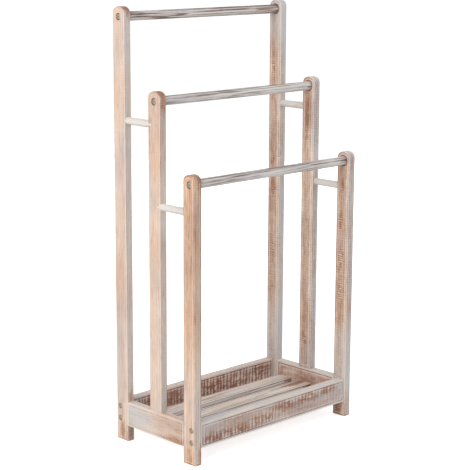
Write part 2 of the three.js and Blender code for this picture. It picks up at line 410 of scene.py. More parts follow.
# %% [markdown]
# ## Rails and spacers
#
# Rails and spacers are turned dowel bar. A many-sided cone with equal ends is the
# plain bar, and a bevel on its two end rims breaks the edges that go into the
# sockets.

# %% Turn the round bars
RAIL_NODES = ["front_rail", "middle_rail", "rear_rail"]
SPACER_NODES = [
    "front_left_spacer",
    "front_right_spacer",
    "rear_left_spacer",
    "rear_right_spacer",
]
BAR_EASE = 1 * MM
BAR_SIDES = 72


def round_bar(node, run):
    """A bar as long and as thick as its CAD node, along axis 0 or 1."""
    low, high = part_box(node)
    start, end = ends_along(node, run)
    shape = drill_bit((high.z - low.z) / 2, start, end, BAR_SIDES)
    rims = [edge for edge in shape.edges if any(len(face.verts) > 4 for face in edge.link_faces)]
    ease_edges(shape, rims, BAR_EASE)
    return shape


bars = {}
for node in RAIL_NODES:
    bars[node] = hand_over(round_bar(node, 0), node)
for node in SPACER_NODES:
    bars[node] = hand_over(round_bar(node, 1), node)
for piece in bars.values():
    shade_softly(piece)
print("round bars:", len(bars))

# %% [markdown]
# ## Boards and slats
#
# The tray is four boards on edge, with three slats low between them. Boards like
# these are planed or sawn to size and their edges are broken with a few strokes,
# which shows in the light as a thin pale frame. A cube scaled to the CAD box and
# beveled on all its edges gives that. The side boards then get the mortises that
# the slats sit in.

# %% Saw and ease the boards
BOARD_NODES = ["front_apron", "rear_apron", "left_apron", "right_apron"]
SLAT_NODES = ["shelf_slat_1", "shelf_slat_2", "shelf_slat_3"]
BOARD_EASE = 1.5 * MM
SLAT_EASE = 1.2 * MM


def eased_board(node, ease):
    """A board as large as its CAD node, with all its edges eased."""
    low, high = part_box(node)
    shape = block(low, high)
    ease_edges(shape, shape.edges[:], ease)
    return shape


boards = {}
for node in BOARD_NODES:
    boards[node] = hand_over(eased_board(node, BOARD_EASE), node)
for node in SLAT_NODES:
    boards[node] = hand_over(eased_board(node, SLAT_EASE), node)

# %% Cut the side boards
room = Vector((FIT, FIT, FIT))
for side in ("left", "right"):
    cutters = []
    for node in SLAT_NODES:
        low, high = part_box(node)
        cutters.append(block(low - room, high + room))
    for end in ("front", "middle", "rear"):
        cutters += dowel_holes(end, side)
    cut(boards[side + "_apron"], cutters)
for piece in boards.values():
    shade_softly(piece)
print("boards and slats:", len(boards))

# %% [markdown]
# ## Screws
#
# The screws have a low domed head with a cross recess and lie just under the
# surface. Half of a screw's section is a chain of points, and the same turning
# that made the hole cutters makes the solid. The cross is two narrow wedges taken
# out of the dome. Each cross stands at another angle, as driven screws do.

# %% Shape a screw
RAIL_SCREW = {"head": 3.4 * MM, "shank": 2.4 * MM, "cross": 7.4 * MM, "slot": 1.5 * MM}
BOARD_SCREW = {"head": 2.8 * MM, "shank": 2.0 * MM, "cross": 5.4 * MM, "slot": 1.2 * MM}
DOME_STEPS = 6
POINT_LENGTH = 5 * MM
CROSS_DEPTH = 1.9 * MM
CROSS_FLOOR_SHARES = (1, 0.7, 0.45)
FIRST_TURN = 0.37
TURN_STEP = 0.61


def screw_blank(node, kind):
    """A domed head on a plain shank with a point, lying where its CAD node lies."""
    low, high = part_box(node)
    top, outward = outer_point((low, high), node)
    radius = (high.y - low.y) / 2
    length = high.x - low.x
    head = kind["head"]
    section = []
    for step in range(DOME_STEPS + 1):
        angle = step / DOME_STEPS * math.pi / 2
        section.append((radius * math.sin(angle), head / 2 * (1 - math.cos(angle))))
    section += [(radius, head), (kind["shank"], head)]
    section += [(kind["shank"], length - POINT_LENGTH), (0, length)]
    return turned(top, outward, section)


def cross_cutters(node, kind, turn):
    """Two wedges that cross on the screw's axis, and narrow towards the cross's floor."""
    top, outward = outer_point(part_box(node), node)
    wedges = []
    for quarter in (0, math.pi / 2):
        shape = bmesh.new()
        bmesh.ops.create_cube(shape, size=1)
        size = (2 * CROSS_DEPTH, kind["slot"], kind["cross"])
        bmesh.ops.scale(shape, vec=size, verts=shape.verts)
        deep = [v for v in shape.verts if v.co.x * outward < 0]
        bmesh.ops.scale(shape, vec=CROSS_FLOOR_SHARES, verts=deep)
        spun = Matrix.Rotation(turn + quarter, 3, "X")
        bmesh.ops.rotate(shape, cent=(0, 0, 0), matrix=spun, verts=shape.verts)
        bmesh.ops.translate(shape, vec=top, verts=shape.verts)
        wedges.append(shape)
    return wedges


# %% Set all the screws
screws = {}
screw_nodes = sorted(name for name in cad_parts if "screw" in name)
for count, node in enumerate(screw_nodes):
    kind = RAIL_SCREW if "rail_screw" in node else BOARD_SCREW
    screws[node] = hand_over(screw_blank(node, kind), node)
    cut(screws[node], cross_cutters(node, kind, FIRST_TURN + TURN_STEP * count))
    shade_softly(screws[node])
print("screws:", len(screws))

# %% [markdown]
# ## A small kit for node materials
#
# A procedural material is a chain of small sums, and written out node by node it
# would fill pages. A few helpers keep the recipes short enough to read: one adds a
# node, one feeds a socket with a number or with another node's output, one adds a
# Math node, and the others take the steps that several recipes share.

# %% Node helpers
def colour(red, green, blue):
    """A colour as it looks on screen, 0 to 255, as the linear numbers that nodes take."""
    linear = []
    for value in (red, green, blue):
        part = value / 255
        linear.append(part / 12.92 if part <= 0.04045 else ((part + 0.055) / 1.055) ** 2.4)
    return (*linear, 1)


def add_node(tree, kind, **settings):
    """Adds a node and sets its properties."""
    made = tree.nodes.new(kind)
    for name, value in settings.items():
        setattr(made, name, value)
    return made


def feed(tree, socket, value):
    """Links a socket to another node's output, or sets it to a plain value."""
    if isinstance(value, bpy.types.NodeSocket):
        tree.links.new(value, socket)
    elif value is not None:
        socket.default_value = value


def feed_all(tree, node, values):
    """Feeds several sockets of a node by their names."""
    for name, value in values.items():
        feed(tree, node.inputs[name], value)


def sum_of(tree, operation, first, second=None, third=None, clamp=False):
    """Adds a Math node and gives back its result."""
    made = add_node(tree, "ShaderNodeMath", operation=operation, use_clamp=clamp)
    for socket, value in zip(made.inputs, (first, second, third)):
        feed(tree, socket, value)
    return made.outputs[0]


def vector_sum(tree, operation, first, second):
    """Adds a Vector Math node and gives back its outputs, Vector and Value."""
    made = add_node(tree, "ShaderNodeVectorMath", operation=operation)
    feed(tree, made.inputs[0], first)
    feed(tree, made.inputs[1], second)
    return made.outputs


# %% Fades, blends, noise and waves
WAVE_LENGTH = 0.314
WAVE_BEND = 5.0


def fade(tree, value, start, end, low=0.0, high=1.0):
    """Goes smoothly from low to high while value goes from start to end."""
    made = add_node(tree, "ShaderNodeMapRange", interpolation_type="SMOOTHSTEP")
    reach = {"From Min": start, "From Max": end, "To Min": low, "To Max": high}
    feed_all(tree, made, {"Value": value, **reach})
    return made.outputs["Result"]


def blend_colours(tree, amount, first, second):
    """The first colour where amount is 0, and the second where it is 1."""
    made = add_node(tree, "ShaderNodeMix", data_type="RGBA", blend_type="MIX")
    feed(tree, made.inputs[0], amount)
    feed(tree, made.inputs[6], first)
    feed(tree, made.inputs[7], second)
    return made.outputs[2]


def noise(tree, vector, scale, seed, detail=2.0, rough=0.5):
    """Noise in four dimensions, the fourth of which is a seed."""
    made = add_node(tree, "ShaderNodeTexNoise", noise_dimensions="4D")
    values = {"Vector": vector, "W": seed, "Scale": scale, "Detail": detail, "Roughness": rough}
    feed_all(tree, made, values)
    return made.outputs["Fac"]


def wave(tree, vector, spacing, detail, detail_scale, **settings):
    """Bent waves a given distance apart. At scale 1 they would lie WAVE_LENGTH apart."""
    made = add_node(tree, "ShaderNodeTexWave", **settings)
    size = {"Scale": WAVE_LENGTH / spacing, "Distortion": WAVE_BEND}
    feed_all(tree, made, {"Vector": vector, **size, "Detail": detail, "Detail Scale": detail_scale})
    return made.outputs["Fac"]


# %% Start, roughen and hand out a finish
def new_finish(name):
    """A new material with its node tree and its shader."""
    material = bpy.data.materials.new(name)
    material.use_nodes = True
    return material, material.node_tree, material.node_tree.nodes["Principled BSDF"]


def roughen(tree, shader, height, strength, distance):
    """Tilts the shading as if the surface rose by a height, and leaves the mesh as it is."""
    bump = add_node(tree, "ShaderNodeBump")
    feed_all(tree, bump, {"Height": height, "Strength": strength, "Distance": distance})
    feed(tree, shader.inputs["Normal"], bump.outputs["Normal"])


def dress(piece, material):
    """Gives a piece one material in place of what it has."""
    piece.data.materials.clear()
    piece.data.materials.append(material)


# %% [markdown]
# ## Where a point lies on its piece
#
# Wood has a direction. The recipes need to know how far a point lies along the
# grain, how far across it, and how near it is to an edge, because paint wears off
# beside an edge and gathers on it. All of that follows from Object coordinates
# and the box of the piece. For a point on a box, one of its three gaps to the
# sides is zero and the middle one of the three is the distance to the nearest edge.

# %% Grain coordinates
GRAIN_ORDER = {"X": (0, 1, 2), "Y": (1, 2, 0), "Z": (2, 0, 1)}


def grain_place(tree, node, grain):
    """Metres along the grain and across it from the middle of the piece."""
    middle, _ = middle_and_half(node)
    place = add_node(tree, "ShaderNodeTexCoord").outputs["Object"]
    split = add_node(tree, "ShaderNodeSeparateXYZ")
    feed(tree, split.inputs[0], vector_sum(tree, "SUBTRACT", place, middle)["Vector"])
    return [split.outputs[axis] for axis in GRAIN_ORDER[grain]]


def stretched(tree, place, along, across):
    """Grain coordinates with the two directions scaled, for long thin features."""
    joined = add_node(tree, "ShaderNodeCombineXYZ")
    for socket, part, scale in zip(joined.inputs, place, (along, across, across)):
        feed(tree, socket, sum_of(tree, "MULTIPLY", part, scale))
    return joined.outputs[0]


# %% Gaps to the sides of a piece
def box_gaps(tree, node, grain, place):
    """Metres to the sides of the box along each of the three grain directions."""
    _, half = middle_and_half(node)
    gaps = []
    for axis, part in zip(GRAIN_ORDER[grain], place):
        gaps.append(sum_of(tree, "SUBTRACT", half[axis], sum_of(tree, "ABSOLUTE", part)))
    return gaps


def length_of(tree, first, second):
    """The long side of a right triangle."""
    squares = sum_of(tree, "MULTIPLY_ADD", first, first, sum_of(tree, "MULTIPLY", second, second))
    return sum_of(tree, "SQRT", squares)


def crown_gap(tree, node, place):
    """Metres to the outline of a post, which follows the arcs of its crown."""
    _, half = middle_and_half(node)
    offset, rise, meet = crown_arcs(half.y)
    side = sum_of(tree, "ABSOLUTE", place[2])
    height = sum_of(tree, "SUBTRACT", place[0], half.z - CROWN_RADIUS)
    beyond = sum_of(tree, "MAXIMUM", sum_of(tree, "SUBTRACT", side, offset), 0.0)
    above = sum_of(tree, "MAXIMUM", sum_of(tree, "SUBTRACT", height, rise), 0.0)
    shoulder = sum_of(tree, "SUBTRACT", SHOULDER_RADIUS, length_of(tree, beyond, above))
    crown = sum_of(tree, "SUBTRACT", CROWN_RADIUS, length_of(tree, side, height))
    slant = sum_of(tree, "MULTIPLY", side, math.tan(meet))
    on_crown = sum_of(tree, "GREATER_THAN", height, slant)
    apart = sum_of(tree, "SUBTRACT", crown, shoulder)
    return sum_of(tree, "MULTIPLY_ADD", on_crown, apart, shoulder)


# %% Distance to the nearest edge, and the way a surface faces
def edge_distance(tree, node, grain, place):
    """Metres to the nearest edge, for a point on the surface."""
    gaps = box_gaps(tree, node, grain, place)
    if node.endswith("_post"):
        _, half = middle_and_half(node)
        foot = sum_of(tree, "ADD", place[0], half.z)
        gaps = [foot, gaps[1], crown_gap(tree, node, place)]
    near = sum_of(tree, "MINIMUM", gaps[0], gaps[1])
    far = sum_of(tree, "MAXIMUM", gaps[0], gaps[1])
    inner = sum_of(tree, "MINIMUM", far, gaps[2])
    return sum_of(tree, "MAXIMUM", near, inner)


def by_side(tree, sides):
    """A number for the way the surface faces: left, front, right, back, top, bottom."""
    split = add_node(tree, "ShaderNodeSeparateXYZ")
    feed(tree, split.inputs[0], add_node(tree, "ShaderNodeTexCoord").outputs["Normal"])
    left, front, right, back, top, bottom = sides
    total = 0.0
    for direction, below, above in zip(split.outputs, (left, front, bottom), (right, back, top)):
        for limit, amount in (("MAXIMUM", above), ("MINIMUM", -below)):
            facing = sum_of(tree, limit, direction, 0.0)
            total = sum_of(tree, "MULTIPLY_ADD", facing, amount, total)
    return total


# %% [markdown]
# ## The whitewash
#
# The real finish is thinned white paint, brushed on raw pine and wiped off while
# wet. It stays in the pores and on rough spots, and the wood shows through as
# peach and brown streaks. The recipe follows that: first the bare wood with its
# growth rings and fibres, then a cover that says how much paint is left at each
# point, and last the mix of the two. The same cover drives roughness and bump,
# because paint is a little duller and stands a little higher than bare wood.

# %% Colours of the finish
CREAM = colour(237, 218, 201)
GREY_WASH = colour(208, 205, 203)
PEACH = colour(222, 176, 142)
HONEY = colour(222, 166, 112)
BROWN = colour(150, 104, 80)
RUST = colour(190, 136, 110)
REDWOOD = colour(136, 88, 70)
UMBER = colour(92, 68, 60)

# %% [markdown]
# Each look is a set of plain values. Wash and shade are the two colours of the
# paint, light and dark those of the wood. Cover 0 is bare wood and 1 is solid
# white. Patches, streaks, rings, flecks and lines say how uneven the cover is at
# five sizes, and crisp draws it apart into white and bare. The scales and the
# streak run are repeats in a metre, across the grain and along it, and line width
# is how broad the dark lines are. Saw is the strength of the saw marks, pitch
# their spacing, and lean gives the upper half of a board, or the back half of a
# post, more paint.
#
# Rim, groove and margin act near the edges: on the rounded edge itself, in the
# worn line just inside it, and in the band next to that. Inset moves all three
# inward. Sides says how much more paint the left, front, right, back, top and
# bottom took, and grey how much of that paint is the greyer kind. The bottom's
# shares are painted shade: less and greyer paint on faces that look down. End
# grain is how much darker the wood is on top of a post.
#
# Bare lists stretches along the grain where the paint fades out, and cool those
# where it turns grey: where each starts, where it is full, and how strong it is.
# A spot is a worn patch, except on the ends of the rails and slats, where it is
# painted shade. Each spot has its place as shares of the piece's half size, its
# radius across the grain, and how dark the wood is there. Honey is how yellow the
# worn patches are. Each piece also has a seed of its own, so that no two are alike.

# %% The look of a post, which the others start from
POST_LOOK = {
    "wash": CREAM,
    "shade": GREY_WASH,
    "light": PEACH,
    "dark": BROWN,
    "cover": 0.68,
    "patches": 0.26,
    "streaks": 0.20,
    "streak_scale": 190,
    "streak_run": 7,
    "rings": 0.08,
    "flecks": 0.22,
    "lines": 0.08,
    "line_scale": 120,
    "line_width": 0.03,
    "crisp": 0.0,
    "saw": 0.05,
    "pitch": 5 * MM,
    "lean": 0.0,
    "rim": 0.12,
    "groove": 0.18,
    "margin": 0.08,
    "inset": 0.0,
    # The bottom share here, less paint underneath, is painted shade.
    "sides": (0.0, 0.06, -0.1, 0.15, -0.6, -0.4),
    "grey": (0.0, 0.45, 0.3, 0.8, 0.2, 0.0),
    "end_grain": 0.7,
    "honey": 0.6,
    "bare": (),
    "cool": (),
    "spots": (),
}

# %% [markdown]
# ## Growth rings and noises
#
# Pine shows its growth rings as long stripes, because boards are cut along the
# trunk. Rings round a pith that lies beside the piece, drawn out along the grain,
# give the same stripes on all its sides. What is less regular is noise, stretched
# along the grain too: fibres, flecks, dark lines, streaks and broad patches.

# %% Bare wood: growth rings
RING_SPACING = 4.5 * MM
RING_STRETCH = 0.05
PITH_BESIDE = 31 * MM
PITH_BELOW = 24 * MM
PITH_SWAY = 4 * MM


def growth_rings(tree, place, seed):
    """Rings round a pith that lies outside the piece, drawn out along the grain."""
    pith = (seed, PITH_BESIDE + PITH_SWAY * math.sin(seed), PITH_BELOW)
    drawn_out = stretched(tree, place, RING_STRETCH, 1.0)
    about_pith = vector_sum(tree, "ADD", drawn_out, pith)["Vector"]
    kind = {"wave_type": "RINGS", "rings_direction": "X", "wave_profile": "SAW"}
    return wave(tree, about_pith, RING_SPACING, detail=2.0, detail_scale=0.6, **kind)


# %% The noises that the wood and the paint share
# Each has its repeats in a metre along and across the grain, and then what is
# added to the seed of the piece, the detail and the roughness.
NOISES = {
    "fibre": ((45, 1300), 5, 3, 0.6),
    "patch": ((11, 32), 9, 4, 0.6),
    "fleck": ((150, 380), 29, 3, 0.7),
    "wander": ((26, 60), 17, 3, 0.5),
    "tint": ((9, 40), 13, 3, 0.5),
    "hue": ((6, 16), 25, 2, 0.5),
    "saw_break": ((90, 170), 3, 4, 0.65),
    "saw_strength": ((16, 40), 7, 3, 0.5),
}
LINE_CORE = 0.2


def grain_noises(tree, place, look):
    """The rings and all noises of a piece, by name."""
    listed = {
        "streak": ((look["streak_run"], look["streak_scale"]), 0, 4, 0.6),
        "line": ((look["streak_run"], look["line_scale"]), 21, 3, 0.5),
        **NOISES,
    }
    waves = {"rings": growth_rings(tree, place, look["seed"])}
    for name, (repeats, shift, detail, rough) in listed.items():
        drawn_out = stretched(tree, place, *repeats)
        waves[name] = noise(tree, drawn_out, 1, look["seed"] + shift, detail, rough)
    # A dark line runs wherever its noise passes through the middle of its range.
    width = look["line_width"]
    away = sum_of(tree, "ABSOLUTE", sum_of(tree, "SUBTRACT", waves["line"], 0.5))
    waves["line"] = fade(tree, away, LINE_CORE * width, width, 1.0, 0.0)
    return waves


# %% [markdown]
# ## Saw marks
#
# The long boards came rough from the saw, whose marks run across them and hold
# paint. A wave texture that runs along the grain draws such marks, but alone it
# would look printed. So one noise breaks the marks up, and another makes them
# stronger in some places than in others.

# %% Saw marks
SAW_BAND = (0.34, 0.62)
SAW_FAINTEST = 0.35
SAW_UNBROKEN = 0.3
SAW_SPECKLE = 0.25
SAW_STRETCH = 0.25


def saw_marks(tree, place, look, waves):
    """Marks of the saw across the grain, broken up and stronger in some places."""
    kind = {"wave_type": "BANDS", "bands_direction": "X", "wave_profile": "SIN"}
    lengthened = stretched(tree, place, 1.0, SAW_STRETCH)
    teeth = wave(tree, lengthened, look["pitch"], detail=3.0, detail_scale=1.8, **kind)
    broken = fade(tree, waves["saw_break"], *SAW_BAND)
    strong = fade(tree, waves["saw_strength"], *SAW_BAND, SAW_FAINTEST, 1.0)
    kept = sum_of(tree, "MULTIPLY_ADD", broken, 1 - SAW_UNBROKEN, SAW_UNBROKEN)
    marks = sum_of(tree, "MULTIPLY", teeth, strong)
    marks = sum_of(tree, "MULTIPLY", marks, kept)
    return sum_of(tree, "MULTIPLY_ADD", broken, SAW_SPECKLE, marks)


# %% [markdown]
# ## Spots of wear and of painted shade, and edges
#
# Wear took the paint off in spots, which are longer along the grain than across
# it. Some spots are painted shade instead: the dark ends of the rails where they
# enter the posts, and the dark right ends of two slats' front faces, where the
# gaps between the slats fall into shadow. A spot is a distance from a point, made
# ragged by noise. The same idea gives the dark ring round the end of a rail, which
# is partly glue and dirt and partly painted shade of the joint. At the edges the
# paint is thick on the rounding, rubbed off in a narrow line inside it and thicker
# again beside that, so fades over the distance to the nearest edge place it.

# %% Spots of wear and of painted shade, and the ring round a rail
SPOT_SQUEEZE = 0.3
SPOT_CORE = 0.2
SPOT_END = 1.1
FRAY = 2.2
WIDEST_FRAY = 7 * MM
# The dark ring round a rail's end, partly glue and dirt and partly painted shade of the joint: its
# band, the face it lies on, and its depth.
RAIL_RING_BAND = (1 * MM, 3 * MM)
RAIL_RING_FACE = (4 * MM, 7 * MM)
RAIL_RING_DEPTH = 0.6


def spot_masks(tree, node, grain, place, spots, waves):
    """How far a point lies in a spot, a rubbed patch or a patch of painted shade, and how dark the
    wood is there.
    """
    _, half = middle_and_half(node)
    squeezed = stretched(tree, place, SPOT_SQUEEZE, 1.0)
    ragged = sum_of(tree, "ADD", waves["wander"], waves["fleck"])
    wear_and_shade, dark = 0.0, 0.0
    for shares, radius, darkness in spots:
        centre = [half[axis] * shares[axis] for axis in GRAIN_ORDER[grain]]
        centre[0] *= SPOT_SQUEEZE
        away = vector_sum(tree, "DISTANCE", squeezed, centre)["Value"]
        fray = FRAY * min(radius, WIDEST_FRAY)
        frayed = sum_of(tree, "ADD", away, sum_of(tree, "MULTIPLY_ADD", ragged, fray, -fray))
        mask = fade(tree, frayed, SPOT_CORE * radius, SPOT_END * radius, 1.0, 0.0)
        wear_and_shade = sum_of(tree, "MAXIMUM", wear_and_shade, mask)
        dark = sum_of(tree, "MULTIPLY_ADD", mask, darkness, dark)
    return wear_and_shade, dark


def rail_ring_of_dirt_and_shade(tree, node, place):
    """A dark ring round the end of a rail: partly glue and dirt that kept the paint off, partly
    painted shade of the joint's gap.
    """
    middle, _ = middle_and_half(node)
    rail_middle, rail_half = middle_and_half(node.split("_")[0] + "_rail")
    across = sum_of(tree, "SUBTRACT", place[2], rail_middle.y - middle.y)
    height = sum_of(tree, "SUBTRACT", place[0], rail_middle.z - middle.z)
    gap = sum_of(tree, "SUBTRACT", length_of(tree, across, height), rail_half.z)
    ring = fade(tree, gap, *RAIL_RING_BAND, RAIL_RING_DEPTH, 0.0)
    inward = sum_of(tree, "MULTIPLY", place[1], 1.0 if middle.x < 0 else -1.0)
    return sum_of(tree, "MULTIPLY", ring, fade(tree, inward, *RAIL_RING_FACE))


# %% Paint near the edges
RIM_BAND = (1.3 * MM, 2.2 * MM)
GROOVE_START = (1.6 * MM, 2.4 * MM)
GROOVE_END = (3.2 * MM, 4.4 * MM)
GROOVE_GAPS = (0.3, 0.5)
GROOVE_FAINTEST = 0.5
MARGIN_BAND = (5.5 * MM, 9 * MM)
MARGIN_SWAY = 3.5 * MM


def edge_paint(tree, look, edge, wander):
    """What rim and margin add to the cover, and how much paint the groove lost."""
    edge = sum_of(tree, "SUBTRACT", edge, look["inset"])
    rim = fade(tree, edge, *RIM_BAND, look["rim"], 0.0)
    sway = sum_of(tree, "MULTIPLY_ADD", wander, 2 * MARGIN_SWAY, -MARGIN_SWAY)
    margin = fade(tree, sum_of(tree, "ADD", edge, sway), *MARGIN_BAND, look["margin"], 0.0)
    groove = fade(tree, edge, *GROOVE_START)
    groove = sum_of(tree, "MULTIPLY", groove, fade(tree, edge, *GROOVE_END, look["groove"], 0.0))
    kept = fade(tree, wander, *GROOVE_GAPS, GROOVE_FAINTEST, 1.0)
    groove = sum_of(tree, "MULTIPLY", groove, kept)
    return sum_of(tree, "ADD", rim, margin), groove


# %% [markdown]
# ## Wood and paint together
#
# Paint soaks in where wood is open and wipes off where it is hard, so the wood's
# colour and the paint's cover are sums of the same noises with other weights. The
# saw marks then catch paint, the worn spots lose it, and what is left decides at
# each point how much of the two colours shows.

# %% The bare wood's colour
FIGURE_START = -0.2
FIGURE_WEIGHTS = {
    "fibre": 0.8,
    "rings": 0.4,
    "line": 0.35,
    "patch": -0.8,
    "streak": 0.4,
    "fleck": 0.8,
}
TINT_BAND = (0.42, 0.66)
MOST_YELLOW = 0.6
MOST_GREY = 0.7


def weighed(tree, waves, weights, total):
    """Adds each noise times its weight to a total."""
    for name, weight in weights.items():
        total = sum_of(tree, "MULTIPLY_ADD", waves[name], weight, total)
    return total


def wood_colour(tree, look, waves, darker, wear_and_shade):
    """Light wood, more yellow in places, with darker rings, fibres, lines and spots."""
    figure = weighed(tree, waves, FIGURE_WEIGHTS, FIGURE_START)
    figure = sum_of(tree, "ADD", figure, darker, clamp=True)
    yellow = fade(tree, waves["hue"], *TINT_BAND, 0.0, MOST_YELLOW)
    yellow = sum_of(tree, "MAXIMUM", yellow, sum_of(tree, "MULTIPLY", wear_and_shade, look["honey"]))
    light = blend_colours(tree, yellow, look["light"], HONEY)
    return blend_colours(tree, figure, light, look["dark"])


# %% The paint's colour
ARRIS_BAND = (1 * MM, 4 * MM)
ARRIS_GREY = 0.3


def stretches(tree, place, listed):
    """The sum of all stretches along the grain at a point."""
    total = 0.0
    for start, full, amount in listed:
        total = sum_of(tree, "ADD", fade(tree, place[0], start, full, 0.0, amount), total)
    return total


def paint_colour(tree, look, place, waves, edge):
    """White paint, greyer in patches, on some sides and along some stretches."""
    cool = sum_of(tree, "ADD", stretches(tree, place, look["cool"]), by_side(tree, look["grey"]))
    cool = sum_of(tree, "MULTIPLY", cool, fade(tree, edge, *ARRIS_BAND, ARRIS_GREY, 1.0))
    greyer = fade(tree, waves["tint"], *TINT_BAND, 0.0, MOST_GREY)
    greyer = sum_of(tree, "ADD", greyer, cool, clamp=True)
    return blend_colours(tree, greyer, look["wash"], look["shade"])


# %% How much paint is left
FIBRE_SWING = 0.3
LEAN_REACH = 25 * MM
SAW_CATCH = 2
SAW_KEEP = 7
SAW_LOSS = 0.8
SPOT_LOSS = 0.6
CRISP_BAND = (0.3, 0.7)
LEAST_COVER = 0.05
MOST_COVER = 0.97


def brushed_cover(tree, look, place, waves):
    """The cover before edges, spots and saw marks. Noises swing about their middle."""
    start = look["cover"] - look["patches"] - look["streaks"] - look["flecks"] + FIBRE_SWING
    weights = {
        "patch": 2 * look["patches"],
        "streak": 2 * look["streaks"],
        "fibre": -2 * FIBRE_SWING,
        "rings": -look["rings"],
        "line": -look["lines"],
        "fleck": 2 * look["flecks"],
    }
    cover = weighed(tree, waves, weights, start)
    cover = sum_of(tree, "ADD", cover, by_side(tree, look["sides"]))
    cover = sum_of(tree, "MULTIPLY_ADD", place[2], look["lean"] / LEAN_REACH, cover)
    return sum_of(tree, "SUBTRACT", cover, stretches(tree, place, look["bare"]))


def cover_after_saw_and_spots(tree, look, cover, marks, wear_and_shade):
    """The cover after the saw marks caught paint and the spots, rubbed patches and painted shade,
    lost all but what they hold.
    """
    saw = look["saw"]
    lost = sum_of(tree, "MULTIPLY_ADD", marks, -SAW_KEEP * saw, SPOT_LOSS + saw)
    lost = sum_of(tree, "MULTIPLY_ADD", wear_and_shade, lost, SAW_LOSS * saw)
    cover = sum_of(tree, "MULTIPLY_ADD", marks, SAW_CATCH * saw, cover)
    cover = sum_of(tree, "SUBTRACT", cover, lost)
    apart = sum_of(tree, "SUBTRACT", fade(tree, cover, *CRISP_BAND), cover)
    cover = sum_of(tree, "MULTIPLY_ADD", apart, look["crisp"], cover)
    return sum_of(tree, "MAXIMUM", sum_of(tree, "MINIMUM", cover, MOST_COVER), LEAST_COVER)


# %% The whitewash recipe
GROOVE_DARKNESS = 0.9
# Painted shade: how much darker the wood is on faces that look down.
UNDERSIDE_PAINTED_SHADE = 0.2
BARE_ROUGHNESS = 0.55
PAINT_ROUGHNESS = 0.78
WASH_SHEEN = 0.2
PAINT_RELIEF = 0.35
SAW_RELIEF = 4
RELIEF_STRENGTH = 0.35
RELIEF_HEIGHT = 0.25 * MM


def whitewash(piece, node, grain, *looks):
    """Gives a piece its own whitewashed wood. Each look changes those before it."""
    look = dict(POST_LOOK)
    for changes in looks:
        look.update(changes)
    material, tree, shader = new_finish("wash_" + node)
    place = grain_place(tree, node, grain)
    waves = grain_noises(tree, place, look)
    edge = edge_distance(tree, node, grain, place)
    marks = saw_marks(tree, place, look, waves)
    near_edge, groove = edge_paint(tree, look, edge, waves["wander"])
    if node.endswith("_post"):
        # The ring round each rail's end joins the groove here; part of its darkness is painted
        # shade of the joint.
        groove = sum_of(tree, "MAXIMUM", groove, rail_ring_of_dirt_and_shade(tree, node, place))
    wear_and_shade, dark = spot_masks(tree, node, grain, place, look["spots"], waves)

    cover = sum_of(tree, "ADD", brushed_cover(tree, look, place, waves), near_edge)
    cover = sum_of(tree, "SUBTRACT", cover, groove)
    cover = cover_after_saw_and_spots(tree, look, cover, marks, wear_and_shade)
    # The tops of posts are darker as end grain is; the darkening of faces that look down is painted
    # shade.
    ends = by_side(tree, (0.0, 0.0, 0.0, 0.0, look["end_grain"], UNDERSIDE_PAINTED_SHADE))
    darker = sum_of(tree, "MULTIPLY_ADD", groove, GROOVE_DARKNESS, ends)
    wood = wood_colour(tree, look, waves, sum_of(tree, "ADD", dark, darker), wear_and_shade)
    paint = paint_colour(tree, look, place, waves, edge)
    rough = fade(tree, cover, 0.0, 1.0, BARE_ROUGHNESS, PAINT_ROUGHNESS)
    feed_all(tree, shader, {
        "Base Color": blend_colours(tree, cover, wood, paint),
        "Roughness": rough,
        "Specular IOR Level": WASH_SHEEN,
    })
    relief = sum_of(tree, "MULTIPLY_ADD", cover, PAINT_RELIEF, waves["fibre"])
    relief = sum_of(tree, "MULTIPLY_ADD", marks, SAW_RELIEF * look["saw"], relief)
    roughen(tree, shader, relief, RELIEF_STRENGTH, RELIEF_HEIGHT)
    dress(piece, material)


# %% [markdown]
# ## Washing each piece
#
# Every piece came off a different length of wood and met the brush and the rag in
# its own way. The posts are pale, some with a peach stretch, and on the right the
# inner faces are browner in the middle with pale margins. The crowns and the feet
# are worn to honey and brown. The rails are grey-white with dark streaks along
# them, and the rear one is browner towards its right end. The long boards are
# rough-sawn and redder, with the white caught in the saw marks, and a row of worn
# patches slants up the front one.

# %% Posts on the left
LEFT_POST_LOOKS = {
    "rear_left_post": {
        "seed": 1.3,
        "sides": (0.0, 0.14, -0.1, 0.15, -0.6, -0.4),
        "grey": (0.0, 0.6, 0.3, 0.8, 0.2, 0.0),
        "bare": ((-0.02, -0.12, 0.16), (-0.15, -0.22, -0.16)),
        "spots": (
            ((-1, -0.1, -0.96), 8 * MM, 0.1),
            # A darker grey-brown spot low on the front face, over the foot.
            ((0.2, -1, -0.97), 14 * MM, 0.5),
            ((0.1, -1, -0.79), 8 * MM, 0.1),
            ((0.4, -0.8, 0.98), 9 * MM, 0.4),
        ),
    },
    "middle_left_post": {
        "seed": 2.9,
        "light": colour(234, 186, 148),
        "cover": 0.72,
        "honey": 0.4,
        "bare": ((0.12, 0.20, 0.22), (0.07, 0.01, 0.13), (-0.06, -0.12, -0.13)),
        "cool": ((0.15, -0.05, 0.1),),
        "spots": (((0.2, -0.8, 0.94), 11 * MM, 0.15),),
    },
    "front_left_post": {
        "seed": 4.1,
        "light": colour(250, 194, 142),
        "cover": 0.66,
        "rim": -0.2,
        "groove": 0.4,
        "margin": 0.22,
        "sides": (0.0, 0.06, -0.1, 0.15, -0.2, -0.4),
        "end_grain": 0.3,
        "honey": 0.4,
        "bare": ((-0.13, 0.02, 0.32), (0.06, 0.16, 0.04)),
        "spots": (
            ((-1, -0.1, -0.93), 12 * MM, -0.1),
            ((0.6, -1, -0.93), 9 * MM, 0.4),
            ((0.3, -0.8, 0.97), 9 * MM, 0.3),
        ),
    },
}
for node, look in LEFT_POST_LOOKS.items():
    whitewash(posts[node], node, "Z", look)

